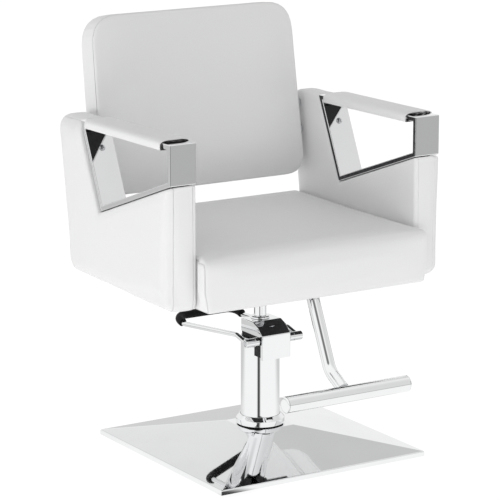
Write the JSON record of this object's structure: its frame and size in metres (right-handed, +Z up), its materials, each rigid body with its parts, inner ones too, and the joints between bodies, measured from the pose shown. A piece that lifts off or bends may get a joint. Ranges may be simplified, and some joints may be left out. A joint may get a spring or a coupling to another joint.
{
  "type": "hydraulic barber chair",
  "caption": "White upholstered salon chair on a square chromed base, with a hydraulic pump and foot lever, a swivel seat, chromed arm frames and a T-bar footrest.",
  "frame": {"origin": "on the floor under the pump's axis, which is also the swivel axis and the centre of the base", "axes": "+Z up, -Y the way that the sitter faces, +X to the sitter's left"},
  "size_m": [0.6296, 0.6395, 0.8654],
  "materials": {
    "chrome": "polished",
    "zinc_steel": "satin",
    "black_casting": "satin",
    "bronze": "satin",
    "black_rubber": "matte",
    "white_vinyl": "satin",
    "plywood": "matte"
  },
  "bodies": {
    "base": {"base_shell": "chrome", "ballast_plate": "zinc_steel", "rubber_foot_front_left": "black_rubber", "rubber_foot_front_right": "black_rubber", "rubber_foot_rear_left": "black_rubber", "rubber_foot_rear_right": "black_rubber", "pump_foot": "zinc_steel", "pump_tube": "chrome", "collar": "chrome", "collar_gasket": "black_rubber", "ram_cylinder": "zinc_steel", "tube_cap": "zinc_steel", "pump_head": "black_casting", "gland_bush": "bronze", "gland_nut": "chrome", "head_cover": "chrome", "plunger_barrel": "zinc_steel"},
    "lever": {"lever_shaft": "zinc_steel", "lever_rod": "chrome", "lever_grip": "black_rubber", "lever_finger": "zinc_steel"},
    "plunger": {"plunger": "zinc_steel", "return_spring": "zinc_steel"},
    "piston": {"ram_piston": "zinc_steel", "piston_seal": "black_rubber"},
    "chair": {"ram_rod": "chrome", "seat_socket": "zinc_steel", "seat_plate": "black_casting", "seat_plate_bolt_1": "zinc_steel", "seat_plate_bolt_2": "zinc_steel", "seat_plate_bolt_3": "zinc_steel", "seat_plate_bolt_4": "zinc_steel", "seat_board": "plywood", "seat_cushion": "white_vinyl", "footrest_stem": "chrome", "footrest_bar": "chrome", "footrest_cap_left": "chrome", "footrest_cap_right": "chrome", "footrest_bolt_1": "zinc_steel", "footrest_bolt_2": "zinc_steel", "back_board": "plywood", "back_cushion": "white_vinyl", "back_stud_left_1": "zinc_steel", "back_stud_left_2": "zinc_steel", "back_stud_right_1": "zinc_steel", "back_stud_right_2": "zinc_steel", "seat_stud_left_1": "zinc_steel", "seat_stud_left_2": "zinc_steel", "seat_stud_right_1": "zinc_steel", "seat_stud_right_2": "zinc_steel", "arm_board_left": "plywood", "arm_cushion_left": "white_vinyl", "arm_frame_left": "chrome", "arm_pad_left": "white_vinyl", "arm_screw_left": "zinc_steel", "arm_board_right": "plywood", "arm_cushion_right": "white_vinyl", "arm_frame_right": "chrome", "arm_pad_right": "white_vinyl", "arm_screw_right": "zinc_steel"}
  },
  "joints": [
    {"name": "lever_press", "type": "hinge", "parent": "base", "child": "lever", "pos_m": [0, -0.0477, 0.2382], "axis": [-1, 0, 0], "range_deg": [0, 20], "stiffness_Nm_per_rad": 6, "springref_deg": -28.65},
    {"name": "plunger_slide", "type": "slide", "parent": "base", "child": "plunger", "axis": [0, 0, -1], "range_m": [0, 0.0078], "deforming": ["return_spring"]},
    {"name": "ram_lift", "type": "slide", "parent": "base", "child": "piston", "axis": [0, 0, 1], "range_m": [0, 0.125]},
    {"name": "seat_swivel", "type": "hinge", "parent": "piston", "child": "chair", "pos_m": [0, 0, 0.31], "axis": [0, 0, 1], "continuous": true}
  ],
  "couplings": [
    {"joint": "plunger_slide", "follows": "lever_press", "m_per_rad": 0.0217}
  ]
}
